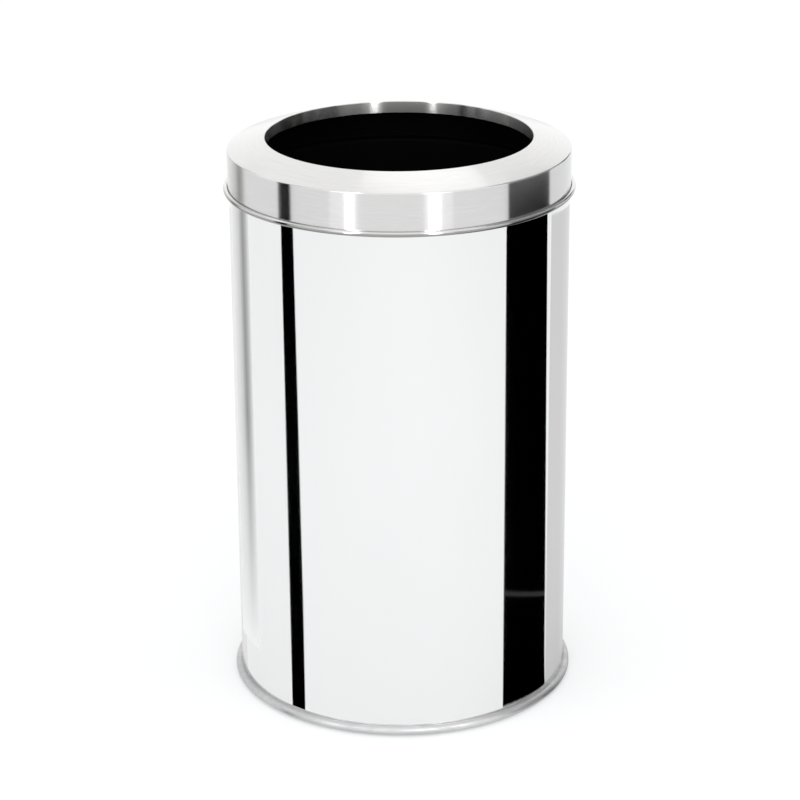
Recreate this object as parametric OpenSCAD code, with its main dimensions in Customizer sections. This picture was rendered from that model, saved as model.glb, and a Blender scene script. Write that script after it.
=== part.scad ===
// Round free-standing litter bin: a mirror-finish sheet tube on a half-round base hoop,
// a lift-off brushed ring with a conical top, and a hanging inner pail with a bail.
// Millimetres, +Z up, +Y towards the back. The origin is on the floor at the bin's centre.

/* [Body] */
// Outside diameter of the body tube
body_d = 295.6; // [280:0.2:320]
// Height of the body tube's top edge above the floor
body_top_z = 489.8; // [400:0.2:600]
// Sheet thickness of the body tube
body_sheet = 0.8; // [0.6:0.1:1.2]
// Width of the lap seam at the back, in degrees
seam_angle = 5; // [3:0.5:8]
// Height of the flat band inside the tube's top edge
band_h = 12; // [8:1:20]
// Thickness of that band
band_t = 1.6; // [1:0.1:2]

/* [Base] */
// How far the feet stand below the hoop
foot_proud = 1; // [0.5:0.1:3]
// Height of the half-round base hoop
hoop_h = 6.8; // [6:0.1:9]
// How far the hoop stands out from the tube
hoop_out = 5.6; // [4.8:0.1:7]
// Sheet thickness of the hoop
hoop_sheet = 0.8; // [0.6:0.1:1]
// Sheet thickness of the base pan
pan_sheet = 1; // [0.8:0.1:1.5]
// Radius of the pan's raised centre
pan_step_r = 95; // [60:1:100]
// Height of the pan's raised centre above its rim
pan_step_h = 4; // [2:0.5:6]
// Distance of the feet from the bin's centre
foot_place_r = 120; // [115:1:125]
// Foot diameter where it meets the pan
foot_d = 26; // [20:1:28]

/* [Ring] */
// Diameter of the opening
throat_d = 231.4; // [200:0.2:240]
// Depth of the collar inside the opening
collar_h = 10.7; // [6:0.1:14]
// Height of the ring's outer corner above the tube's top edge
corner_rise = 2.3; // [2:0.1:4]
// Rise of the conical top from its outer corner to the opening
cone_rise = 9.6; // [6:0.1:14]
// Height of the skirt from the outer corner to the rolled bead's centre
skirt_h = 34.4; // [25:0.1:45]
// Sheet thickness of the ring
ring_sheet = 0.7; // [0.6:0.1:1]
// Radius of the rolled bead
bead_r = 2.25; // [2:0.05:3]

/* [Pail] */
// Height of the pail's lower edge above the floor
pail_foot_z = 32; // [28:1:60]
// Inside diameter of the pail's straight collar
pail_collar_d = 280.8; // [278:0.2:282]
// Height of the ledge that the bail lies on, above the floor
ledge_z = 463; // [455:1:466]
// Inside diameter at the ledge's inner edge
pail_top_d = 264; // [256:1:266]
// Inside diameter at the pail's foot
pail_foot_d = 238.4; // [220:0.2:250]
// Sheet thickness of the pail
pail_sheet = 0.8; // [0.6:0.1:1]
// Diameter of the bail's wire
wire_d = 5; // [4:0.5:5]
// Diameter of the bail's grip
grip_d = 12.6; // [11:0.1:13]
// Length of the grip
grip_len = 76; // [60:1:80]

/* [Hidden] */
$fn = 180;
eps = 0.01;

body_r = body_d / 2;
body_in_r = body_r - body_sheet;
hoop_lip_in = 2.2;
hoop_arc_r = (pow(hoop_h / 2, 2) + pow(hoop_out, 2)) / (2 * hoop_out);
hoop_arc_z = foot_proud + hoop_arc_r;
hoop_arc_x = body_r + hoop_out - hoop_arc_r;
lip_top_z = foot_proud + hoop_sheet;
pan_z = 9;
pan_top_z = pan_z + pan_sheet;

screw_d = 5;
screw_hole_d = 5.6;
head_d = 9.5;
head_h = 3.2;
head_top_z = 4;
recess_d = 11;
washer_d = 12;
washer_t = 1.2;
nut_flats = 8;
nut_h = 4;
foot_angles = [225, 315, 135, 45];

corner_z = body_top_z + corner_rise;
throat_r = throat_d / 2;
throat_z = corner_z + cone_rise;
skirt_gap = 0.3;
skirt_in_r = body_r + skirt_gap;
skirt_out_r = skirt_in_r + ring_sheet;
bead_x = skirt_in_r + bead_r;
bead_z = corner_z - skirt_h;
cone_slope = cone_rise / (skirt_out_r - throat_r);
cone_drop = ring_sheet * sqrt(1 + pow(cone_slope, 2));
function cone_under(r) = corner_z + (skirt_out_r - r) * cone_slope - cone_drop;

rest_gap = 0.05;
flange_r = body_r - 0.2;
flange_z = body_top_z + rest_gap;
flange_top_z = flange_z + pail_sheet;
collar_in_r = pail_collar_d / 2;
collar_out_r = collar_in_r + pail_sheet;
ledge_in_r = pail_top_d / 2;
foot_in_r = pail_foot_d / 2;
pail_taper = (ledge_in_r - foot_in_r) / (ledge_z - pail_foot_z);
function pail_in(z) = foot_in_r + (z - pail_foot_z) * pail_taper;
floor_z = pail_foot_z + 6;
seam_rise = 4;

wire_r = wire_d / 2;
pivot_z = ledge_z + grip_d / 2 + 0.4;
bail_r = collar_in_r - 5.8;
bend_r = 4;
wire_short = 0.15;
bend_x = sqrt(pow(bail_r + bend_r, 2) - pow(bend_r, 2));
bend_angle = asin(bend_r / (bail_r + bend_r));
chord_y = 126;
corner_r = 30;
corner_x = sqrt(pow(bail_r - corner_r, 2) - pow(chord_y - corner_r, 2));
corner_angle = atan2(chord_y - corner_r, corner_x);
pin_head_r = 4;
pin_head_t = 1.5;
pivot_hole_r = wire_r + 0.08;
ear_t = 1.2;
ear_w = 34;
ear_h = 20;
ear_corner = 5;
rivet_r = 2;
rivet_head_r = 3.4;
rivet_side = 4.9;
rivet_rise = 5;

pad_in_r = 141;
pad_out_r = 146;
pad_angle = 9;

// A flat ring of sheet between two radii and two heights
module band(r_in, r_out, z_low, z_high) {
    translate([0, 0, z_low])
        difference() {
            cylinder(r = r_out, h = z_high - z_low);
            translate([0, 0, -1])
                cylinder(r = r_in, h = z_high - z_low + 2);
        }
}

// A flat ring as above that spans only an angle, centred on the direction given
module band_arc(r_in, r_out, z_low, z_high, span, middle) {
    rotate([0, 0, middle - span / 2])
        rotate_extrude(angle = span)
            translate([r_in, z_low])
                square([r_out - r_in, z_high - z_low]);
}

// A rectangle with round corners, centred
module round_plate(w, h, r) {
    square([w - 2 * r, h], center = true);
    square([w, h - 2 * r], center = true);
    for (sx = [-1, 1], sy = [-1, 1])
        translate([sx * (w / 2 - r), sy * (h / 2 - r)])
            circle(r = r);
}

// Body tube: one sheet, lapped at the back
module body_shell() {
    color("gainsboro") {
        band(body_in_r, body_r, lip_top_z, body_top_z);
        band_arc(body_in_r - body_sheet, body_in_r + eps, pan_top_z + 2,
                 body_top_z - band_h - 2, seam_angle, 90);
    }
}

// Flat steel band inside the tube's top edge; the pail's flange sits on it
module rim_band() {
    color("silver")
        band(body_in_r - band_t, body_in_r, body_top_z - band_h, body_top_z);
}

// Pressed bottom with a raised centre, a turned-down edge and four screw holes
module base_pan() {
    color("silver")
        difference() {
            rotate_extrude()
                polygon([
                    [0, pan_z + pan_step_h],
                    [pan_step_r - pan_step_h, pan_z + pan_step_h],
                    [pan_step_r, pan_z],
                    [body_in_r - pan_sheet, pan_z],
                    [body_in_r - pan_sheet, lip_top_z],
                    [body_in_r, lip_top_z],
                    [body_in_r, pan_top_z],
                    [pan_step_r + pan_sheet / 2, pan_top_z],
                    [pan_step_r - pan_step_h + pan_sheet / 2, pan_top_z + pan_step_h],
                    [0, pan_top_z + pan_step_h]
                ]);
            for (a = foot_angles)
                rotate([0, 0, a])
                    translate([foot_place_r, 0, pan_z - 1])
                        cylinder(d = screw_hole_d, h = pan_sheet + 2);
        }
}

// Hollow half-round hoop whose lower lip turns in under the tube and the pan
module base_hoop() {
    color("silver")
        rotate_extrude() {
            difference() {
                translate([hoop_arc_x, hoop_arc_z])
                    circle(r = hoop_arc_r);
                translate([hoop_arc_x, hoop_arc_z])
                    circle(r = hoop_arc_r - hoop_sheet);
                translate([body_r - 20, -5])
                    square([20, 30]);
            }
            translate([body_r - hoop_lip_in, foot_proud])
                square([hoop_lip_in + 1, hoop_sheet]);
        }
}

// Tapered rubber foot with a recess for its screw's head
module foot(angle) {
    color([0.08, 0.08, 0.08])
        rotate([0, 0, angle])
            translate([foot_place_r, 0, 0])
                difference() {
                    cylinder(d1 = foot_d - 3, d2 = foot_d, h = pan_z);
                    translate([0, 0, -1])
                        cylinder(d = recess_d, h = head_top_z + 1);
                    cylinder(d = screw_d + 0.4, h = pan_z + 1);
                }
}

module foot_front_left() {
    foot(foot_angles[0]);
}

module foot_front_right() {
    foot(foot_angles[1]);
}

module foot_rear_left() {
    foot(foot_angles[2]);
}

module foot_rear_right() {
    foot(foot_angles[3]);
}

// One screw per foot, its head sunk in the rubber
module foot_screws() {
    color("silver")
        for (a = foot_angles)
            rotate([0, 0, a])
                translate([foot_place_r, 0, 0])
                    difference() {
                        union() {
                            translate([0, 0, head_top_z - head_h])
                                cylinder(d = head_d, h = head_h);
                            translate([0, 0, head_top_z - eps])
                                cylinder(d = screw_d, h = pan_top_z + washer_t + nut_h - head_top_z + 1.5);
                        }
                        translate([0, 0, head_top_z - head_h - 1])
                            cylinder(d = 3.4, h = 2.8, $fn = 6);
                    }
}

module foot_washers() {
    color("silver")
        for (a = foot_angles)
            rotate([0, 0, a])
                translate([foot_place_r, 0, 0])
                    band(screw_d / 2 + 0.2, washer_d / 2, pan_top_z, pan_top_z + washer_t);
}

module foot_nuts() {
    color("silver")
        for (a = foot_angles)
            rotate([0, 0, a])
                translate([foot_place_r, 0, pan_top_z + washer_t])
                    difference() {
                        cylinder(d = nut_flats / cos(30), h = nut_h, $fn = 6);
                        translate([0, 0, -1])
                            cylinder(d = screw_d + 0.04, h = nut_h + 2);
                    }
}

// Places its children at the two rivets of one ear, pointing outward
module at_rivets(side) {
    for (a = [-rivet_side, rivet_side])
        rotate([0, 0, side + a])
            translate([collar_in_r, 0, pivot_z + rivet_rise])
                rotate([0, 90, 0])
                    children();
}

// Holes for one ear's rivets and for the bail's pin
module ear_holes(side) {
    at_rivets(side)
        translate([0, 0, -10])
            cylinder(r = rivet_r + 0.02, h = 20);
    rotate([0, 0, side])
        translate([collar_in_r - 10, 0, pivot_z])
            rotate([0, 90, 0])
                cylinder(r = pivot_hole_r, h = 20);
}

// Pail wall: flange, straight collar, ledge and tapered wall in one sheet
module pail_wall() {
    color([0.05, 0.05, 0.05])
        difference() {
            rotate_extrude()
                polygon([
                    [flange_r, flange_top_z],
                    [collar_in_r, flange_top_z],
                    [collar_in_r, ledge_z],
                    [ledge_in_r, ledge_z],
                    [foot_in_r, pail_foot_z],
                    [foot_in_r + pail_sheet, pail_foot_z],
                    [ledge_in_r + pail_sheet, ledge_z - pail_sheet],
                    [collar_out_r, ledge_z - pail_sheet],
                    [collar_out_r, flange_z],
                    [flange_r, flange_z]
                ]);
            ear_holes(0);
            ear_holes(180);
        }
}

// Pail bottom: a raised disc whose edge folds under and around the wall's lower edge
module pail_bottom() {
    wall_out = foot_in_r + pail_sheet;
    color([0.05, 0.05, 0.05])
        rotate_extrude()
            polygon([
                [0, floor_z + 2],
                [foot_in_r - 35, floor_z + 2],
                [foot_in_r - 32, floor_z],
                [pail_in(floor_z) - pail_sheet, floor_z],
                [foot_in_r - pail_sheet, pail_foot_z - pail_sheet],
                [wall_out + pail_sheet, pail_foot_z - pail_sheet],
                [wall_out + pail_sheet + seam_rise * pail_taper, pail_foot_z + seam_rise],
                [wall_out + seam_rise * pail_taper, pail_foot_z + seam_rise],
                [wall_out, pail_foot_z],
                [foot_in_r, pail_foot_z],
                [pail_in(floor_z + pail_sheet), floor_z + pail_sheet],
                [foot_in_r - 32, floor_z + pail_sheet],
                [foot_in_r - 35, floor_z + 2 + pail_sheet],
                [0, floor_z + 2 + pail_sheet]
            ]);
}

// Curved steel plate riveted inside the pail's collar; the bail's pin turns in it
module ear(side) {
    color("silver")
        difference() {
            intersection() {
                band(collar_in_r - ear_t, collar_in_r, pivot_z - ear_h, pivot_z + 2 * ear_h);
                rotate([0, 0, side])
                    translate([collar_in_r - 10, 0, pivot_z + rivet_rise - 1])
                        rotate([90, 0, 90])
                            linear_extrude(height = 20)
                                round_plate(ear_w, ear_h, ear_corner);
            }
            ear_holes(side);
        }
}

module ear_left() {
    ear(180);
}

module ear_right() {
    ear(0);
}

// Four rivets with a domed head inside and a flat head outside
module ear_rivets() {
    color("silver")
        for (side = [0, 180])
            at_rivets(side) {
                translate([0, 0, -ear_t - 0.1])
                    cylinder(r = rivet_r, h = ear_t + pail_sheet + 0.2);
                translate([0, 0, -ear_t - 1.1])
                    cylinder(r1 = rivet_head_r - 1, r2 = rivet_head_r, h = 1);
                translate([0, 0, pail_sheet + eps])
                    cylinder(r = rivet_head_r - 0.4, h = 0.8);
            }
}

// One piece of bent wire: an arc about the point given, just short at each end
module wire_arc(x, y, r, start, span) {
    short = wire_short / r * 180 / PI;
    translate([x, y, 0])
        rotate([0, 0, start + short])
            rotate_extrude(angle = span - 2 * short)
                translate([r, 0])
                    circle(r = wire_r);
}

// A barely raised knuckle that joins two pieces of wire
module wire_knuckle(x, y) {
    translate([x, y, 0])
        sphere(r = wire_r + 0.06);
}

// One side of the bail, from the pin's head to the middle of the grip part
module bail_half(flip) {
    mirror([flip, 0, 0])
        translate([0, 0, pivot_z]) {
            translate([collar_out_r + 0.3, 0, 0])
                rotate([0, 90, 0])
                    cylinder(r = pin_head_r, h = pin_head_t);
            translate([bend_x + wire_short, 0, 0])
                rotate([0, 90, 0])
                    cylinder(r = wire_r, h = collar_out_r + 0.5 - bend_x);
            wire_knuckle(bend_x, 0);
            wire_arc(bend_x, -bend_r, bend_r, 90, 90 - bend_angle);
            wire_knuckle(bail_r * cos(bend_angle), -bail_r * sin(bend_angle));
            wire_arc(0, 0, bail_r, -corner_angle, corner_angle - bend_angle);
            wire_knuckle(bail_r * cos(corner_angle), -bail_r * sin(corner_angle));
            wire_arc(corner_x, corner_r - chord_y, corner_r, -90, 90 - corner_angle);
            wire_knuckle(corner_x, -chord_y);
            translate([0, -chord_y, 0])
                rotate([0, 90, 0])
                    cylinder(r = wire_r, h = corner_x - wire_short);
        }
}

// Bail: one bent wire, folded forward and down onto the ledge
module bail_wire() {
    color("silver") {
        bail_half(0);
        bail_half(1);
    }
}

// Ribbed plastic tube that turns on the bail's straight part
module bail_grip() {
    color([0.1, 0.1, 0.1])
        translate([-grip_len / 2, -chord_y, pivot_z])
            rotate([0, 90, 0])
                difference() {
                    union() {
                        cylinder(d = grip_d - 1.2, h = grip_len);
                        for (i = [0:4])
                            translate([0, 0, 2 + i * (grip_len - 8) / 4])
                                cylinder(d = grip_d, h = 4);
                    }
                    translate([0, 0, -1])
                        cylinder(r = pivot_hole_r, h = grip_len + 2);
                }
}

// Lift-off ring: collar, conical top, skirt and outward-rolled bead in one sheet
module ring_cover() {
    color("gainsboro")
        rotate_extrude() {
            polygon([
                [throat_r, throat_z - collar_h],
                [throat_r + ring_sheet, throat_z - collar_h],
                [throat_r + ring_sheet, cone_under(throat_r + ring_sheet)],
                [skirt_in_r, cone_under(skirt_in_r)],
                [skirt_in_r, bead_z],
                [skirt_out_r, bead_z],
                [skirt_out_r, corner_z],
                [throat_r, throat_z]
            ]);
            difference() {
                translate([bead_x, bead_z])
                    circle(r = bead_r);
                translate([bead_x, bead_z])
                    circle(r = bead_r - ring_sheet);
                translate([skirt_out_r - 5, bead_z])
                    square([5, 5]);
            }
        }
}

// Four rubber pads under the conical top, standing on the pail's flange
module ring_buffers() {
    color([0.08, 0.08, 0.08])
        for (a = [45:90:315])
            rotate([0, 0, a - pad_angle / 2])
                rotate_extrude(angle = pad_angle)
                    polygon([
                        [pad_in_r, flange_top_z + rest_gap],
                        [pad_out_r, flange_top_z + rest_gap],
                        [pad_out_r, cone_under(pad_out_r)],
                        [pad_in_r, cone_under(pad_in_r)]
                    ]);
}

body_shell();
rim_band();
base_pan();
base_hoop();
foot_front_left();
foot_front_right();
foot_rear_left();
foot_rear_right();
foot_screws();
foot_washers();
foot_nuts();
pail_wall();
pail_bottom();
ear_left();
ear_right();
ear_rivets();
bail_wire();
bail_grip();
ring_cover();
ring_buffers();
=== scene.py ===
"""Round litter bin: mirror-finish tube, brushed lift-off ring, base hoop and black inner pail."""

import math

import bmesh
import bpy
from mathutils import Matrix, Vector, noise


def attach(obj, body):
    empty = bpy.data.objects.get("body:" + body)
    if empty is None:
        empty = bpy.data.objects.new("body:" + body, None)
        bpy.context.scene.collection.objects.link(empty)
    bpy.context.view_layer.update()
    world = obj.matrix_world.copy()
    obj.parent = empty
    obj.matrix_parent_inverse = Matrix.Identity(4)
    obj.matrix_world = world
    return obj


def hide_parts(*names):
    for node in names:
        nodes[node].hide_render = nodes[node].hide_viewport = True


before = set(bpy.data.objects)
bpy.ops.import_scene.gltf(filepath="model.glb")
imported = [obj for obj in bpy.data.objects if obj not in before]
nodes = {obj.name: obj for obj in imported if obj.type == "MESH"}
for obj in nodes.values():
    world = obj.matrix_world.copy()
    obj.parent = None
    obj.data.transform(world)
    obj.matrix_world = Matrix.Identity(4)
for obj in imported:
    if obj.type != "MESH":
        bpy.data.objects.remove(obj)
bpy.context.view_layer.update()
MM = 0.001


# ---------------------------------------------------------------- mesh helpers


def fillet(points, radii, step=12):
    """Rounds the corners of an open 2D path. Each corner takes its own radius."""
    out = [points[0]]
    for i in range(1, len(points) - 1):
        p, a, b = points[i], points[i - 1], points[i + 1]
        r = radii[i]
        da = math.hypot(a[0] - p[0], a[1] - p[1])
        db = math.hypot(b[0] - p[0], b[1] - p[1])
        ua = ((a[0] - p[0]) / da, (a[1] - p[1]) / da)
        ub = ((b[0] - p[0]) / db, (b[1] - p[1]) / db)
        angle = math.acos(max(-1, min(1, ua[0] * ub[0] + ua[1] * ub[1])))
        if r <= 0 or angle > math.pi - 0.01:
            out.append(p)
            continue
        cut = min(r / math.tan(angle / 2), da * 0.49, db * 0.49)
        r = cut * math.tan(angle / 2)
        mid = (ua[0] + ub[0], ua[1] + ub[1])
        length = math.hypot(*mid)
        away = r / math.sin(angle / 2)
        c = (p[0] + mid[0] / length * away, p[1] + mid[1] / length * away)
        s = (p[0] + ua[0] * cut, p[1] + ua[1] * cut)
        e = (p[0] + ub[0] * cut, p[1] + ub[1] * cut)
        t0 = math.atan2(s[1] - c[1], s[0] - c[0])
        t1 = math.atan2(e[1] - c[1], e[0] - c[0])
        turn = (t1 - t0 + math.pi) % (2 * math.pi) - math.pi
        count = max(2, math.ceil(abs(math.degrees(turn)) / step))
        for k in range(count + 1):
            t = t0 + turn * k / count
            out.append((c[0] + r * math.cos(t), c[1] + r * math.sin(t)))
    out.append(points[-1])
    return out


def arc(cx, cy, r, start, end, step=12):
    """Points along a circular arc, angles in degrees."""
    count = max(2, math.ceil(abs(end - start) / step))
    angles = [math.radians(start + (end - start) * k / count) for k in range(count + 1)]
    return [(cx + r * math.cos(t), cy + r * math.sin(t)) for t in angles]


def sheet(path, thickness):
    """Closed outline of a sheet of the given thickness along the middle of a 2D path."""
    left, right = [], []
    for i, p in enumerate(path):
        a = path[max(i - 1, 0)]
        b = path[min(i + 1, len(path) - 1)]
        u = (p[0] - a[0], p[1] - a[1]) if i else (b[0] - p[0], b[1] - p[1])
        v = (b[0] - p[0], b[1] - p[1]) if i < len(path) - 1 else u
        lu, lv = math.hypot(*u), math.hypot(*v)
        nu, nv = (-u[1] / lu, u[0] / lu), (-v[1] / lv, v[0] / lv)
        n = (nu[0] + nv[0], nu[1] + nv[1])
        size = math.hypot(*n)
        n = (n[0] / size, n[1] / size)
        grow = thickness / 2 / max(0.3, n[0] * nu[0] + n[1] * nu[1])
        left.append((p[0] + n[0] * grow, p[1] + n[1] * grow))
        right.append((p[0] - n[0] * grow, p[1] - n[1] * grow))
    return left + right[::-1]


def finish_mesh(name, verts, faces, uvs=None, sharp=35):
    mesh = bpy.data.meshes.new(name)
    mesh.from_pydata(verts, [], faces)
    if uvs:
        layer = mesh.uv_layers.new(name="Around")
        for loop, uv in zip(layer.data, uvs, strict=True):
            loop.uv = uv
    mesh.validate()
    work = bmesh.new()
    work.from_mesh(mesh)
    bmesh.ops.recalc_face_normals(work, faces=work.faces)
    work.to_mesh(mesh)
    work.free()
    mesh.shade_smooth()
    mesh.set_sharp_from_angle(angle=math.radians(sharp))
    obj = bpy.data.objects.new(name, mesh)
    bpy.context.scene.collection.objects.link(obj)
    return obj


def lathe(name, outline, steps=256, shift=None, sharp=35, centre=(0, 0)):
    """Turns a closed 2D outline (radius, height), in millimetres, about the Z axis.
    shift(angle, radius, height) may give a change of radius in millimetres."""
    verts, faces, uvs = [], [], []
    n = len(outline)
    travel = [0.0]
    for i in range(1, n + 1):
        a, b = outline[i - 1], outline[i % n]
        travel.append(travel[-1] + math.hypot(b[0] - a[0], b[1] - a[1]) * MM)
    pole = [abs(r) < 1e-6 for r, z in outline]
    index = {}
    for j in range(steps):
        t = 2 * math.pi * j / steps
        for i, (r, z) in enumerate(outline):
            if pole[i] and j:
                index[j, i] = index[0, i]
                continue
            rr = r + (shift(t, r, z) if shift else 0)
            index[j, i] = len(verts)
            verts.append(
                (
                    centre[0] * MM + rr * MM * math.cos(t),
                    centre[1] * MM + rr * MM * math.sin(t),
                    z * MM,
                )
            )
    for j in range(steps):
        k = (j + 1) % steps
        for i in range(n):
            m = (i + 1) % n
            if pole[i] and pole[m]:
                continue
            quad = [(j, i), (k, i), (k, m), (j, m)]
            ids, where = [], []
            for q in quad:
                v = index[q]
                if v not in ids:
                    ids.append(v)
                    turn = j if q[0] == j else j + 1
                    far = travel[i] if q[1] == i else travel[i + 1]
                    where.append((turn / steps, far))
            faces.append(ids)
            uvs += where
    return finish_mesh(name, verts, faces, uvs, sharp)


def tube(name, points, radius, sides=24, sharp=60):
    """A round bar along a 3D path, in millimetres, with closed ends."""
    pts = [Vector(p) for p in points]
    verts, faces = [], []
    up = Vector((0, 0, 1))
    for i, p in enumerate(pts):
        a = pts[max(i - 1, 0)]
        b = pts[min(i + 1, len(pts) - 1)]
        along = (b - a).normalized()
        side = along.cross(up)
        if side.length < 0.05:
            side = Vector((1, 0, 0))
        side.normalize()
        top = side.cross(along).normalized()
        for k in range(sides):
            t = 2 * math.pi * k / sides
            verts.append(tuple((p + (side * math.cos(t) + top * math.sin(t)) * radius) * MM))
    for i in range(len(pts) - 1):
        for k in range(sides):
            m = (k + 1) % sides
            faces.append([i * sides + k, i * sides + m, (i + 1) * sides + m, (i + 1) * sides + k])
    faces.append(list(range(sides))[::-1])
    last = (len(pts) - 1) * sides
    faces.append([last + k for k in range(sides)])
    return finish_mesh(name, verts, faces, None, sharp)


def place(obj, matrix):
    """Moves a new piece's mesh. The matrix is in millimetres."""
    scale = Matrix.Scale(MM, 4)
    obj.data.transform(scale @ matrix @ scale.inverted())
    return obj


def merge(name, parts):
    """One piece made of several new meshes."""
    work = bmesh.new()
    for part in parts:
        work.from_mesh(part.data)
        bpy.data.objects.remove(part)
    mesh = bpy.data.meshes.new(name)
    work.to_mesh(mesh)
    work.free()
    obj = bpy.data.objects.new(name, mesh)
    bpy.context.scene.collection.objects.link(obj)
    return obj


def drill(obj, holes, sides=48):
    """Cuts round holes. Each hole is (matrix, radius, reach), along the matrix's own Z axis."""
    tools = []
    for matrix, radius, reach in holes:
        bar = lathe("drill", [(0, -reach), (radius, -reach), (radius, reach), (0, reach)], sides)
        tools.append(place(bar, matrix))
    tool = merge("drill", tools)
    cut = obj.modifiers.new("holes", "BOOLEAN")
    cut.operation = "DIFFERENCE"
    cut.solver = "EXACT"
    cut.object = tool
    solved = obj.evaluated_get(bpy.context.evaluated_depsgraph_get())
    mesh = bpy.data.meshes.new_from_object(solved)
    obj.modifiers.remove(cut)
    obj.data = mesh
    bpy.data.objects.remove(tool)


# ------------------------------------------------------------------- materials


class Nodes:
    """Short names for building one material's node tree."""

    def __init__(self, name):
        self.material = bpy.data.materials.new(name)
        self.material.use_nodes = True
        self.tree = self.material.node_tree
        self.shader = self.tree.nodes["Principled BSDF"]

    def add(self, kind, values=None, **settings):
        node = self.tree.nodes.new(kind)
        for key, value in settings.items():
            setattr(node, key, value)
        for key, value in (values or {}).items():
            if hasattr(value, "is_output"):
                self.tree.links.new(value, node.inputs[key])
            else:
                node.inputs[key].default_value = value
        return node

    def set(self, **values):
        for key, value in values.items():
            socket = self.shader.inputs[key.replace("_", " ")]
            if hasattr(value, "is_output"):
                self.tree.links.new(value, socket)
            else:
                socket.default_value = value

    def math(self, operation, a, b=0.0):
        node = self.add("ShaderNodeMath", {0: a, 1: b}, operation=operation)
        return node.outputs[0]

    def noise(self, vector, scale, detail=2.0, roughness=0.5):
        values = {"Vector": vector, "Scale": scale, "Detail": detail, "Roughness": roughness}
        return self.add("ShaderNodeTexNoise", values).outputs["Fac"]

    def ramp(self, fac, low, high, start=0.0, end=1.0):
        """Maps fac from start..end to the two colours or numbers given."""
        if isinstance(low, tuple):
            node = self.add("ShaderNodeValToRGB", {"Fac": fac})
            node.color_ramp.elements[0].position = start
            node.color_ramp.elements[0].color = (*low, 1)
            node.color_ramp.elements[1].position = end
            node.color_ramp.elements[1].color = (*high, 1)
            return node.outputs["Color"]
        values = {"Value": fac, "From Min": start, "From Max": end, "To Min": low, "To Max": high}
        return self.add("ShaderNodeMapRange", values).outputs["Result"]

    def mix(self, fac, low, high):
        node = self.add("ShaderNodeMix", data_type="RGBA")
        for key, value in (("Factor", fac), ("A", low), ("B", high)):
            socket = [i for i in node.inputs if i.name == key and i.enabled][0]
            if hasattr(value, "is_output"):
                self.tree.links.new(value, socket)
            else:
                socket.default_value = (*value, 1) if isinstance(value, tuple) else value
        return [o for o in node.outputs if o.enabled][0]

    def bump(self, height, strength, distance):
        values = {"Strength": strength, "Distance": distance, "Height": height}
        return self.add("ShaderNodeBump", values).outputs["Normal"]

    def object_coords(self):
        return self.add("ShaderNodeTexCoord").outputs["Object"]

    def stretched(self, vector, scale):
        values = {"Vector": vector, "Scale": scale}
        return self.add("ShaderNodeMapping", values).outputs["Vector"]


def mirror_steel():
    """Mirror-polished stainless sheet: a faint buffing haze and fingermark-soft patches."""
    m = Nodes("mirror_steel")
    p = m.object_coords()
    haze = m.noise(m.stretched(p, (1, 1, 0.35)), 9, 3)
    buff = m.noise(m.stretched(p, (1, 1, 90)), 60, 2)
    m.set(
        Base_Color=m.ramp(haze, (0.822, 0.822, 0.822), (0.838, 0.838, 0.838), 0.3, 0.7),
        Metallic=1.0,
        Roughness=m.ramp(haze, 0.035, 0.06, 0.35, 0.7),
        Normal=m.bump(buff, 0.02, 0.00002),
    )
    return m.material


# Heights where the ring's painted shade ends, just above the bead, and radii where the collar ends,
# in metres.
HEM_SHADE_HEIGHTS = (0.4581, 0.4593)
COLLAR_RADII = (0.1162, 0.1170)
# Heights between which the pail's dust thins out, in metres.
DUST_HEIGHTS = (0.05, 0.33)


def brushed_steel():
    """Fine brushing that runs around the ring, with the long soft highlights it gives.
    From the fold between skirt and bead down over the bead, the colour is darkened with painted
    shade, and the collar inside the opening is duller."""
    m = Nodes("brushed_ring_steel")
    p = m.object_coords()
    xyz = m.add("ShaderNodeSeparateXYZ", {0: p})
    uv = m.add("ShaderNodeUVMap", uv_map="Around")
    split = m.add("ShaderNodeSeparateXYZ", {0: uv.outputs["UV"]})
    across = m.math("MULTIPLY", split.outputs["Y"], 60.0)
    line = m.add(
        "ShaderNodeCombineXYZ",
        {0: xyz.outputs["X"], 1: xyz.outputs["Y"], 2: across},
    ).outputs[0]
    coarse = m.noise(line, 34, 3, 0.6)
    fine = m.noise(line, 120, 2, 0.6)
    cloud = m.noise(p, 6, 2)
    mixed = m.math("ADD", m.math("MULTIPLY", coarse, 0.5), m.math("MULTIPLY", fine, 0.5))
    tangent = m.add("ShaderNodeTangent", direction_type="RADIAL", axis="Z")
    steel = m.ramp(mixed, (0.59, 0.585, 0.578), (0.69, 0.688, 0.682), 0.3, 0.7)
    # Painted shade: from the band just above the bead downwards, the base colour is mixed 60%
    # towards dark grey 0.10.
    hem_shade_mask = m.ramp(xyz.outputs["Z"], 0.40, 1.0, *HEM_SHADE_HEIGHTS)
    flat = m.stretched(p, (1, 1, 0))
    radius = m.add("ShaderNodeVectorMath", {0: flat}, operation="LENGTH").outputs["Value"]
    collar = m.ramp(radius, 0.055, 0.0, *COLLAR_RADII)
    m.set(
        Base_Color=m.mix(hem_shade_mask, (0.10, 0.10, 0.10), steel),
        Metallic=1.0,
        Roughness=m.math("ADD", m.ramp(cloud, 0.14, 0.17, 0.35, 0.65), collar),
        Anisotropic=1.0,
        Anisotropic_Rotation=0.25,
        Tangent=tangent.outputs[0],
        Normal=m.bump(mixed, 0.06, 0.00003),
    )
    return m.material


def satin_steel(name, low, high, rough, scale=220):
    """Plain or satin-polished steel: fine rolling grain and soft cloudy tone."""
    m = Nodes(name)
    p = m.object_coords()
    grain = m.noise(m.stretched(p, (0.2, 1, 1)), scale, 3, 0.6)
    cloud = m.noise(p, 18, 3)
    m.set(
        Base_Color=m.ramp(cloud, low, high, 0.35, 0.65),
        Metallic=1.0,
        Roughness=m.ramp(grain, rough * 0.8, rough * 1.25, 0.35, 0.65),
        Normal=m.bump(grain, 0.08, 0.00003),
    )
    return m.material


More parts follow.
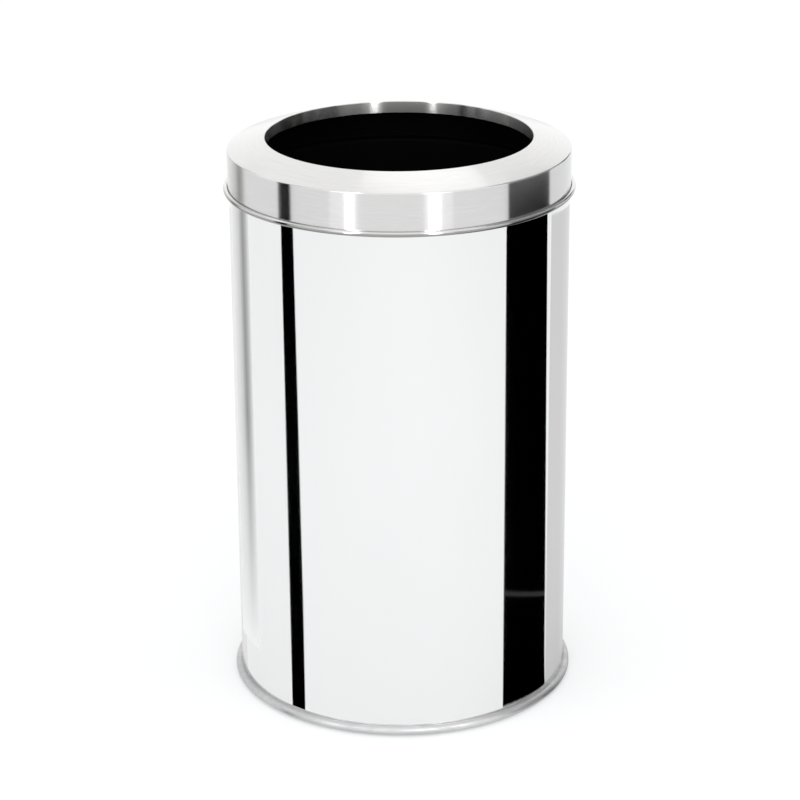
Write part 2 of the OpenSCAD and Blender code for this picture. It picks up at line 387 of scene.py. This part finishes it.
def black_coating():
    """Matt black coating on steel: fine orange peel, rubbed tone, and dust low in the pail.
    Its colour is far darker than a real coating: painted shade, for the pure black inside the
    opening."""
    m = Nodes("black_coating")
    p = m.object_coords()
    peel = m.noise(p, 900, 2)
    rub = m.noise(m.stretched(p, (1, 1, 0.3)), 14, 4)
    height = m.add("ShaderNodeSeparateXYZ", {0: p}).outputs["Z"]
    # Painted shade: the clean coat's colour is far darker than a real matt black.
    clean_coat_painted_shade = m.ramp(rub, (0.0006, 0.0006, 0.0007), (0.0018, 0.0018, 0.002), 0.3, 0.75)
    dusty = m.ramp(rub, (0.018, 0.018, 0.0185), (0.032, 0.032, 0.032), 0.3, 0.75)
    m.set(
        Base_Color=m.mix(m.ramp(height, 1.0, 0.0, *DUST_HEIGHTS), clean_coat_painted_shade, dusty),
        Roughness=m.ramp(rub, 0.68, 0.58, 0.3, 0.75),
        Specular_IOR_Level=0.03,
        Normal=m.bump(peel, 0.25, 0.00008),
    )
    return m.material


def moulded(name, low, high, rough, grain_scale):
    """Moulded plastic or rubber: fine grain and a slightly worn tone."""
    m = Nodes(name)
    p = m.object_coords()
    grain = m.noise(p, grain_scale, 3, 0.6)
    tone = m.noise(p, 40, 3)
    m.set(
        Base_Color=m.ramp(tone, low, high, 0.3, 0.7),
        Roughness=m.ramp(grain, rough - 0.06, rough + 0.06, 0.3, 0.7),
        Normal=m.bump(grain, 0.3, 0.0001),
    )
    return m.material


MIRROR = mirror_steel()
BRUSHED = brushed_steel()
HOOP = satin_steel("hoop_steel", (0.54, 0.54, 0.545), (0.61, 0.61, 0.61), 0.58)
PLAIN = satin_steel("plain_steel", (0.52, 0.52, 0.515), (0.62, 0.62, 0.61), 0.34)
ZINC = satin_steel("zinc_plate", (0.60, 0.62, 0.64), (0.72, 0.73, 0.74), 0.3, 500)
WIRE = satin_steel("bail_wire_steel", (0.62, 0.62, 0.62), (0.74, 0.74, 0.73), 0.22, 400)
COATING = black_coating()
PLASTIC = moulded("grip_plastic", (0.018, 0.018, 0.02), (0.032, 0.032, 0.034), 0.45, 1600)
RUBBER = moulded("foot_rubber", (0.02, 0.02, 0.02), (0.04, 0.04, 0.038), 0.75, 900)


def dress(obj, material, slot_name):
    """Gives a piece or a CAD node its material. slot_name is not used."""
    obj.data.materials.clear()
    obj.data.materials.append(material)


def stand_in(obj, material, slot_name, body, node):
    """Dresses a new piece, which rides on a body and is shown in place of a CAD node."""
    dress(obj, material, slot_name)
    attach(obj, body)
    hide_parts(node)


# ---------------------------------------------------------------------- pieces

# Dimensions from the CAD part, in millimetres and degrees. The pan's are for the middle of
# its sheet, BEAD_MIDDLE is the radius of the bead's sheet, and CORNER_Z is 0.1 under the CAD's.
BODY_R, BODY_TOP, BODY_LOW, BODY_SHEET = 147.8, 489.8, 1.8, 0.8
BAND_IN, BAND_OUT, BAND_LOW = 145.4, 147.0, 477.8
HOOP_OUT, HOOP_HIGH, HOOP_LOW, HOOP_SHEET = 5.6, 6.8, 1.0, 0.8
THROAT_R, THROAT_TOP, COLLAR_LOW = 115.7, 501.7, 491.0
SKIRT_R, CORNER_Z, SKIRT_LOW, RING_SHEET = 148.8, 492.0, 457.7, 0.7
BEAD_R, BEAD_MIDDLE = 150.35, 1.9
PAN_Z, PAN_RISE, PAN_EDGE = 9.5, 13.5, 146.5
FOOT_AT = 120
FOOT_ANGLES = {"front_left": 225, "front_right": 315, "rear_left": 135, "rear_right": 45}
FOOT_SCREW_HOLE = 2.8
COLLAR_IN = 140.4
PIVOT_Z = 469.7
PIN_HOLE, RIVET_HOLE = 2.58, 2.02
EAR_SIDES = (0, 180)
RIVET_TURN, RIVET_RISE = 4.9, 5.0
WIRE_R = 2.5
CHORD_Y = 126

# The tube's unevenness and lap step, in millimetres and radians.
WAVE, LAP_STEP = 0.035, 0.55
LAP_WIDTH = math.radians(9)
BACK = math.pi / 2


def sheet_waver(t, r, z):
    """The slight unevenness of a rolled sheet, and the lap seam's step at the back."""
    wave = noise.noise((math.cos(t) * 2.2, math.sin(t) * 2.2, z * 0.006)) * WAVE
    behind = (t - BACK + math.pi) % (2 * math.pi) - math.pi
    step = -LAP_STEP * (1 - behind / LAP_WIDTH) ** 2 if 0 <= behind < LAP_WIDTH else 0.0
    return wave + step


def body_tube():
    """The polished sheet tube, with a rounded top edge and enough rows for its waves."""
    r, t = BODY_R, BODY_SHEET
    rows = 60
    top, low = BODY_TOP, BODY_LOW
    outline = [(r, low + 0.3 + (top - low - 0.7) * k / rows) for k in range(rows + 1)]
    outline += arc(r - t / 2, top - t / 2, t / 2, 0, 180, 30)
    outline += [(r - t, top - 4 - (top - low - 8) * k / 4) for k in range(5)]
    outline += [(r - t, low), (r - 0.2, low)]
    obj = lathe("polished_tube", outline, 512, sheet_waver, 40)
    stand_in(obj, MIRROR, "mirror_steel", "bin_body", "body_shell")


def ring_top():
    """Collar, conical top, skirt and rolled bead, as one sheet."""
    t = RING_SHEET
    throat, top, skirt = THROAT_R + t / 2, THROAT_TOP - t / 2, SKIRT_R - t / 2
    path = fillet(
        [(throat, COLLAR_LOW), (throat, top), (skirt, CORNER_Z - t / 2), (skirt, SKIRT_LOW)],
        [0, 0.4, 1.0, 0],
        10,
    )
    path += arc(BEAD_R, SKIRT_LOW, BEAD_MIDDLE, 180, 480, 12)[1:]
    obj = lathe("ring_top", sheet(path, t), 384, None, 50)
    stand_in(obj, BRUSHED, "brushed_steel", "ring", "ring_cover")


def hoop():
    """Half-round strip around the foot, whose lower lip turns in under the tube."""
    r, depth, height, low, t = BODY_R, HOOP_OUT, HOOP_HIGH, HOOP_LOW, HOOP_SHEET
    big = ((height / 2) ** 2 + depth**2) / (2 * depth) - t / 2
    cx, cy = r + depth - big - t / 2, low + big + t / 2
    reach = math.degrees(math.acos((r - cx) / big))
    path = arc(cx, cy, big, reach, -reach, 8)
    path += [(r - 0.6, low + t / 2), (r - 2.2, low + t / 2)]
    obj = lathe("foot_hoop", sheet(path, t), 320, None, 40)
    stand_in(obj, HOOP, "hoop_steel", "bin_body", "base_hoop")


def rim_band():
    """Flat band inside the tube's top edge, which carries the pail."""
    inner, outer, low, top = BAND_IN, BAND_OUT, BAND_LOW, BODY_TOP
    start = (inner, 484)
    corners = [start, (inner, top), (outer, top), (outer, low), (inner, low), start]
    outline = fillet(corners, [0, 0.6, 0.3, 0.3, 0.6, 0], 30)[:-1]
    obj = lathe("rim_support_band", outline, 320, None, 40)
    stand_in(obj, PLAIN, "plain_steel", "bin_body", "rim_band")


def base_pan():
    """Pressed bottom with a raised middle, a turned-down edge and a hole for each foot's screw."""
    path = fillet(
        [(0, PAN_RISE), (91.25, PAN_RISE), (95.25, PAN_Z), (PAN_EDGE, PAN_Z), (PAN_EDGE, BODY_LOW)],
        [0, 4, 4, 2.5, 0],
        15,
    )
    obj = lathe("pressed_base_pan", sheet(path, 1.0), 320, None, 40)
    holes = []
    for angle in FOOT_ANGLES.values():
        turn = Matrix.Rotation(math.radians(angle), 4, "Z")
        holes.append((turn @ Matrix.Translation((FOOT_AT, 0, PAN_Z)), FOOT_SCREW_HOLE, 3))
    drill(obj, holes)
    stand_in(obj, PLAIN, "plain_steel", "bin_body", "base_pan")


def rubber_feet():
    """Moulded feet with a rounded tread, a draughted side and a deep recess for the screw."""
    outline = fillet(
        [(2.7, 7), (2.7, 9), (13, 9), (11.5, 0), (5.5, 0), (5.5, 4), (2.7, 4), (2.7, 7)],
        [0, 0, 0.8, 1.6, 0.5, 0.4, 0, 0],
        18,
    )[:-1]
    for name, angle in FOOT_ANGLES.items():
        a = math.radians(angle)
        centre = (FOOT_AT * math.cos(a), FOOT_AT * math.sin(a))
        obj = lathe("rubber_foot_" + name, outline, 72, None, 30, centre)
        stand_in(obj, RUBBER, "black_rubber", "bin_body", "foot_" + name)


def outward(side, turn, rise):
    """Matrix of a place on the pail's collar beside an ear, its Z axis pointing outward."""
    around = Matrix.Rotation(math.radians(side + turn), 4, "Z")
    there = Matrix.Translation((COLLAR_IN, 0, PIVOT_Z + rise))
    return around @ there @ Matrix.Rotation(math.radians(90), 4, "Y")


def pail_shell():
    """Flange, straight collar, ledge and tapered wall, with the bends that a pressed sheet has."""
    path = [(147.2, 490.25), (140.8, 490.25), (140.8, 462.6), (132.4, 462.6), (119.6, 32.0)]
    path = fillet(path, [0, 1.4, 1.6, 3.0, 0], 10)
    obj = lathe("pail_shell", sheet(path, 0.8), 320, None, 40)
    holes = []
    for side in EAR_SIDES:
        holes.append((outward(side, 0, 0), PIN_HOLE, 6))
        for turn in (-RIVET_TURN, RIVET_TURN):
            holes.append((outward(side, turn, RIVET_RISE), RIVET_HOLE, 6))
    drill(obj, holes)
    stand_in(obj, COATING, "black_coated_steel", "pail", "pail_wall")


def pail_base():
    """Raised disc whose edge turns down, under and around the wall's lower edge."""
    path = [(0, 40.4), (84.2, 40.4), (87.2, 38.4), (118.98, 38.4), (118.8, 31.6), (120.4, 31.6)]
    path = fillet(path + [(120.52, 36.0)], [0, 4, 4, 1.5, 0.42, 0.42, 0], 15)
    obj = lathe("pail_base_disc", sheet(path, 0.78), 320, None, 40)
    stand_in(obj, COATING, "black_coated_steel", "pail", "pail_bottom")


def rivets():
    """Domed heads inside the ears, flat upset heads outside the collar."""
    head = 3.4
    turns = [math.radians(t) for t in range(0, 91, 15)]
    dome = [(head * math.sin(t), -1.3 - 1.0 * math.cos(t)) for t in turns]
    shank = [(head, -1.21), (2.0, -1.21), (2.0, 0.81)]
    outline = dome + shank + [(3.0, 0.81), (3.0, 1.35), (2.7, 1.6), (0, 1.6)]
    parts = []
    for side in EAR_SIDES:
        for turn in (-RIVET_TURN, RIVET_TURN):
            parts.append(place(lathe("rivet", outline, 36), outward(side, turn, RIVET_RISE)))
    obj = merge("domed_rivets", parts)
    stand_in(obj, ZINC, "zinc_fastener", "pail", "ear_rivets")


def bail():
    """One bent wire: a headed pin at each ear, two short bends, a wide bow and a straight chord."""
    bow, knee, corner = 134.6, 4.0, 30.0
    knee_x = math.sqrt((bow + knee) ** 2 - knee**2)
    knee_turn = math.degrees(math.asin(knee / (bow + knee)))
    corner_x = math.sqrt((bow - corner) ** 2 - (CHORD_Y - corner) ** 2)
    corner_turn = math.degrees(math.atan2(CHORD_Y - corner, corner_x))
    half = [(142.2, 0)]
    half += arc(knee_x, -knee, knee, 90, 180 - knee_turn, 6)
    half += arc(0, 0, bow, -knee_turn, -corner_turn, 3)[1:]
    half += arc(corner_x, corner - CHORD_Y, corner, -corner_turn, -90, 4)[1:]
    points = half + [(-x, y) for x, y in half[::-1]]
    parts = [tube("wire", [(x, y, PIVOT_Z) for x, y in points], WIRE_R, 32)]
    head = [(0, 0), (3.6, 0), (4.0, 0.4), (4.0, 0.9), (3.4, 1.4), (0, 1.5)]
    outside = Matrix.Translation((0, 0, 1.1))
    for side in EAR_SIDES:
        parts.append(place(lathe("head", head, 40), outward(side, 0, 0) @ outside))
    obj = merge("bail_bow", parts)
    stand_in(obj, WIRE, "bail_steel", "bail", "bail_wire")


def grip():
    """Moulded tube with five broad ribs and fine grooves between them."""
    half, bore, core, rib, groove = 38.0, 2.6, 5.7, 6.3, 0.18
    outline = [(bore, -half + 0.4), (bore + 0.4, -half), (core - 0.6, -half), (core, -half + 0.6)]
    for i in range(5):
        mid = -half + 4 + 17 * i
        if i:
            for j in range(1, 7):
                x = mid - 15 + 13 * j / 7
                outline += [(core, x - 0.5), (core - groove, x - 0.3)]
                outline += [(core - groove, x + 0.3), (core, x + 0.5)]
        outline += [(core, mid - 2), (rib - 0.1, mid - 1.5), (rib, mid - 1.1)]
        outline += [(rib, mid + 1.1), (rib - 0.1, mid + 1.5), (core, mid + 2)]
    outline += [(core, half - 0.6), (core - 0.6, half), (bore + 0.4, half), (bore, half - 0.4)]
    obj = lathe("ribbed_grip", outline, 64, None, 30)
    along = Matrix.Translation((0, -CHORD_Y, PIVOT_Z)) @ Matrix.Rotation(math.radians(90), 4, "Y")
    stand_in(place(obj, along), PLASTIC, "black_plastic", "grip", "bail_grip")


for build in (body_tube, ring_top, hoop, rim_band, base_pan, rubber_feet):
    build()
for build in (pail_shell, pail_base, rivets, bail, grip):
    build()

KEPT = {
    "foot_screws": (ZINC, "zinc_fastener"),
    "foot_washers": (ZINC, "zinc_fastener"),
    "foot_nuts": (ZINC, "zinc_fastener"),
    "ear_left": (ZINC, "zinc_fastener"),
    "ear_right": (ZINC, "zinc_fastener"),
    "ring_buffers": (RUBBER, "black_rubber"),
}
for node_name, finish in KEPT.items():
    dress(nodes[node_name], *finish)


# ---------------------------------------------------------------------- studio

# Lengths in metres, angles in degrees. The cards stand a little above the floor.
RISE = 0.0005
BODY = BODY_R * MM
CAMERA_REACH = 2.258


def plain_material(name, colour, rough):
    """Matt card of one colour, with a very slight unevenness."""
    m = Nodes(name)
    tone = m.noise(m.object_coords(), 1.5, 2)
    high = tuple(min(1.0, c * 1.008) for c in colour)
    m.set(Base_Color=m.ramp(tone, colour, high, 0.3, 0.7), Roughness=rough, Specular_IOR_Level=0.0)
    return m.material


def graded_material(name, stops, fade=0.0, glow=0.0):
    """Matt card whose grey follows U: stops are (u, grey) pairs. It is white where V is 0,
    and reaches its own grey where V is fade."""
    m = Nodes(name)
    uv = m.add("ShaderNodeUVMap", uv_map="Around").outputs[0]
    split = m.add("ShaderNodeSeparateXYZ", {0: uv})
    ramp = m.add("ShaderNodeValToRGB", {"Fac": split.outputs["X"]})
    elements = ramp.color_ramp.elements
    ends = (elements[0], stops[0]), (elements[-1], stops[-1])
    for element, (where, grey) in ends:
        element.position = where
        element.color = (grey, grey, grey, 1)
    for where, grey in stops[1:-1]:
        elements.new(where).color = (grey, grey, grey, 1)
    grey = ramp.outputs["Color"]
    if fade:
        grey = m.mix(m.ramp(split.outputs["Y"], 0.0, 1.0, 0.0, fade), (0.8, 0.8, 0.8), grey)
    m.set(Base_Color=grey, Roughness=1.0, Specular_IOR_Level=0.0)
    if glow:
        m.set(Emission_Color=grey, Emission_Strength=glow)
    return m.material


def stage_strip(name, near, far, material):
    """A card between two rows of points, with U from 0 to 1 along the rows."""
    count = len(near)
    faces = [[k, k + 1, count + k + 1, count + k] for k in range(count - 1)]
    uvs = []
    for k in range(count - 1):
        low, high = k / (count - 1), (k + 1) / (count - 1)
        uvs += [(low, 0), (high, 0), (high, 1), (low, 1)]
    obj = finish_mesh(name, near + far, faces, uvs)
    obj.data.materials.append(material)
    return obj


def flag(name, near, far, material):
    """A card beside the bin that shows only in glossy reflections: the camera, diffuse light
    and shadows miss it. The cards are placed so that the front view matches the photograph."""
    obj = stage_strip(name, near, far, material)
    obj.visible_camera = False
    obj.visible_diffuse = False
    obj.visible_shadow = False
    obj.visible_transmission = False
    return obj


def towards(point, azimuth, reach, height=RISE):
    """A point at the given distance from another, at an azimuth: 0 is towards the camera,
    and positive is to the right."""
    a = math.radians(azimuth)
    return (point[0] + reach * math.sin(a), point[1] - reach * math.cos(a), height)


def on_tube(phi):
    """A point at the tube's foot, at an angle from the front, positive to the right."""
    return towards((0, 0), phi, BODY)


def mirrored(phi):
    """Azimuth that the tube's mirror looks in at phi, seen from the camera."""
    a = math.radians(phi)
    offset = math.degrees(math.atan2(BODY * math.sin(a), CAMERA_REACH - BODY * math.cos(a)))
    return 2 * phi + offset


def lit_floor():
    """Pale light table: it glows a little, so it stays pale in the shadow under the bin."""
    m = Nodes("studio_floor")
    tone = m.noise(m.object_coords(), 1.5, 2)
    m.set(
        Base_Color=m.ramp(tone, (0.483, 0.489, 0.491), (0.486, 0.492, 0.494), 0.3, 0.7),
        Roughness=0.9,
        Specular_IOR_Level=0.0,
        Emission_Color=(0.98, 0.995, 1.0, 1),
        Emission_Strength=0.42,
    )
    return m.material


BLACK = plain_material("black_card", (0.0, 0.0, 0.0), 1.0)
FOLD = plain_material("card_fold", (0.03, 0.03, 0.03), 1.0)
DIM = graded_material("dim_card", [(0.0, 0.40), (1.0, 0.28)])

stage_strip("floor", [(-7, -5, 0), (7, -5, 0)], [(-7, 9, 0), (7, 9, 0)], lit_floor())

# The wide right card. It gives the wide black stripe, and folds up off the floor. The narrow
# strip at its fold is a little paler, for the faint line across the stripe.
WIDE_FROM, WIDE_SPAN = 36.65, 23.35
FOLD_END, MIDDLE_END, TOP_END = 0.955, 0.87, 0.86
FOLD_WIDTH = 0.010
CARD_TOP, CARD_MIDDLE = 1.0, 0.44
LOW_START = 0.013


def wide_card_reach(f):
    """How far the fold line stands off the tube."""
    return 0.268 - 0.045 * f


def wide_card(f, reach_back=0.0, height=RISE):
    """A point of the wide right card's fold line, f from 0 at its left edge to 1 at its right."""
    reach = wide_card_reach(f) - reach_back
    return towards(on_tube(WIDE_FROM + WIDE_SPAN * f), 75.8 + 47.7 * f, reach, height)


STEPS = [k / 8 for k in range(9)]
WING_LOW = 0.5
FOOT_FADE = graded_material("card_foot", [(0.0, 0.0), (1.0, 0.0)], 0.05)
flag(
    "card_right_low",
    [wide_card(f, wide_card_reach(f) - LOW_START) for f in STEPS],
    [wide_card(f * FOLD_END, FOLD_WIDTH) for f in STEPS],
    FOOT_FADE,
)
flag(
    "card_right_fold",
    [wide_card(f * FOLD_END, FOLD_WIDTH) for f in STEPS],
    [wide_card(f * FOLD_END) for f in STEPS],
    FOLD,
)
flag(
    "card_right",
    [wide_card(f * FOLD_END) for f in STEPS],
    [wide_card(f * MIDDLE_END, 0, CARD_MIDDLE) for f in STEPS],
    BLACK,
)
flag(
    "card_right_top",
    [wide_card(f * MIDDLE_END, 0, CARD_MIDDLE) for f in STEPS],
    [wide_card(f * TOP_END, 0, CARD_TOP) for f in STEPS],
    DIM,
)
flag(
    "card_right_side",
    [wide_card(TOP_END + 0.4 * f, 0, WING_LOW) for f in STEPS],
    [wide_card(TOP_END + 0.4 * f, 0, CARD_TOP) for f in STEPS],
    graded_material("side_card", [(0.0, 0.35), (0.5, 0.6), (1.0, 0.85)]),
)
WING = [wide_card(0.90)[:2], (0.335, 0.18), (0.32, 0.33)]
flag(
    "card_right_wing",
    [(*spot, WING_LOW) for spot in WING],
    [(*spot, CARD_TOP) for spot in WING],
    BLACK,
)

# The slim left card, for the narrow black stripe. It gets narrower upwards, as the stripe does.
LEFT_FAR, LEFT_NEAR = (-0.3455, -0.1300), (-0.3265, -0.1910)
LEFT_TOP_FAR, LEFT_TOP_NEAR = (-0.350, -0.121), (-0.337, -0.164)
flag(
    "card_left_low",
    [towards(on_tube(phi), mirrored(phi), LOW_START) for phi in (-41.4, -35.7)],
    [(*LEFT_FAR, RISE), (*LEFT_NEAR, RISE)],
    BLACK,
)
flag(
    "card_left",
    [(*LEFT_FAR, RISE), (*LEFT_NEAR, RISE)],
    [(*LEFT_TOP_FAR, CARD_TOP), (*LEFT_TOP_NEAR, CARD_TOP)],
    BLACK,
)

# Sweeps behind the bin on both sides, and a slim grey upright for the soft line at the left.
SWEEP_REACH = 1.5
SIDE = [60 + 2 * k for k in range(15)]
flag(
    "sweep_right",
    [on_tube(phi) for phi in SIDE],
    [towards(on_tube(phi), mirrored(phi), SWEEP_REACH) for phi in SIDE],
    graded_material(
        "grey_sweep",
        [(0.0, 0.58), (0.35, 0.57), (0.64, 0.61), (0.82, 0.67), (1.0, 0.64)],
    ),
)
flag(
    "sweep_left",
    [on_tube(-phi) for phi in SIDE[6:]],
    [towards(on_tube(-phi), mirrored(-phi), SWEEP_REACH) for phi in SIDE[6:]],
    graded_material("pale_sweep", [(0.0, 0.75), (1.0, 0.71)]),
)
UPRIGHT_REACH, UPRIGHT_TOP = 0.10, 0.60
UPRIGHT = [-78 + 1.16 * k for k in range(17)]
flag(
    "upright_left",
    [towards(on_tube(phi), mirrored(phi), UPRIGHT_REACH) for phi in UPRIGHT],
    [towards(on_tube(phi), mirrored(phi), UPRIGHT_REACH, UPRIGHT_TOP) for phi in UPRIGHT],
    graded_material(
        "soft_upright",
        [(0.0, 0.82), (0.32, 0.72), (0.54, 0.59), (0.65, 0.42)]
        + [(0.73, 0.30), (0.84, 0.43), (0.92, 0.59), (1.0, 0.84)],
        fade=0.38,
        glow=0.38,
    ),
)

world = bpy.data.worlds.new("studio")
bpy.context.scene.world = world
world.use_nodes = True
background = world.node_tree.nodes["Background"]
background.inputs["Color"].default_value = (1, 1, 1, 1)
background.inputs["Strength"].default_value = 1.24
world.cycles.sampling_method = "NONE"


def soft_box(name, spot, target, width, height, power, shape="RECTANGLE"):
    """An area light at a spot, turned to its target."""
    data = bpy.data.lights.new(name, "AREA")
    data.shape = shape
    data.size, data.size_y = width, height
    data.energy = power
    obj = bpy.data.objects.new(name, data)
    obj.location = spot
    aim = Vector(target) - Vector(spot)
    obj.rotation_euler = aim.to_track_quat("-Z", "Y").to_euler()
    obj.visible_camera = False
    bpy.context.scene.collection.objects.link(obj)
    return obj


def highlight(*settings):
    """A soft box that shows in the metal and leaves the floor's light even."""
    soft_box(*settings).visible_diffuse = False


STRIP_REACH, STRIP_Z, STRIP_HEIGHT = 1.6, 1.25, 1.9


def upright_strip(name, azimuth, width, power):
    """A tall strip light that faces the bin."""
    spot = towards((0, 0), azimuth, STRIP_REACH, STRIP_Z)
    highlight(name, spot, (0, 0, STRIP_Z), width, STRIP_HEIGHT, power)


upright_strip("strip_left", -31, 0.13, 6.8)
upright_strip("strip_right", 21.6, 0.18, 10.0)
upright_strip("glow_left", -35, 0.5, 2.0)
upright_strip("glow_right", 24, 0.5, 2.0)
highlight("overhead", (0.12, 1.15, 1.85), (0, 0, 0.5), 0.62, 0.6, 0.34, "ELLIPSE")
soft_box("front_fill", (0, -1.0, 1.6), (0, -1.0, 0), 0.6, 0.6, 4.5).visible_glossy = False

# The camera was fitted to the outlines of the bin in the photograph.
LOOK_DOWN, ROLL = 20.65, -0.39
camera_data = bpy.data.cameras.new("camera")
camera_data.lens = 121.6
camera_data.sensor_width = 36
camera_data.clip_start, camera_data.clip_end = 0.05, 100
camera = bpy.data.objects.new("camera", camera_data)
camera.location = (-0.0007, -2.2577, 1.1081)
tilt = Matrix.Rotation(math.radians(90 - LOOK_DOWN), 3, "X")
camera.rotation_euler = (tilt @ Matrix.Rotation(math.radians(ROLL), 3, "Z")).to_euler()
bpy.context.scene.collection.objects.link(camera)
bpy.context.scene.camera = camera
bpy.context.scene.view_settings.view_transform = "Standard"
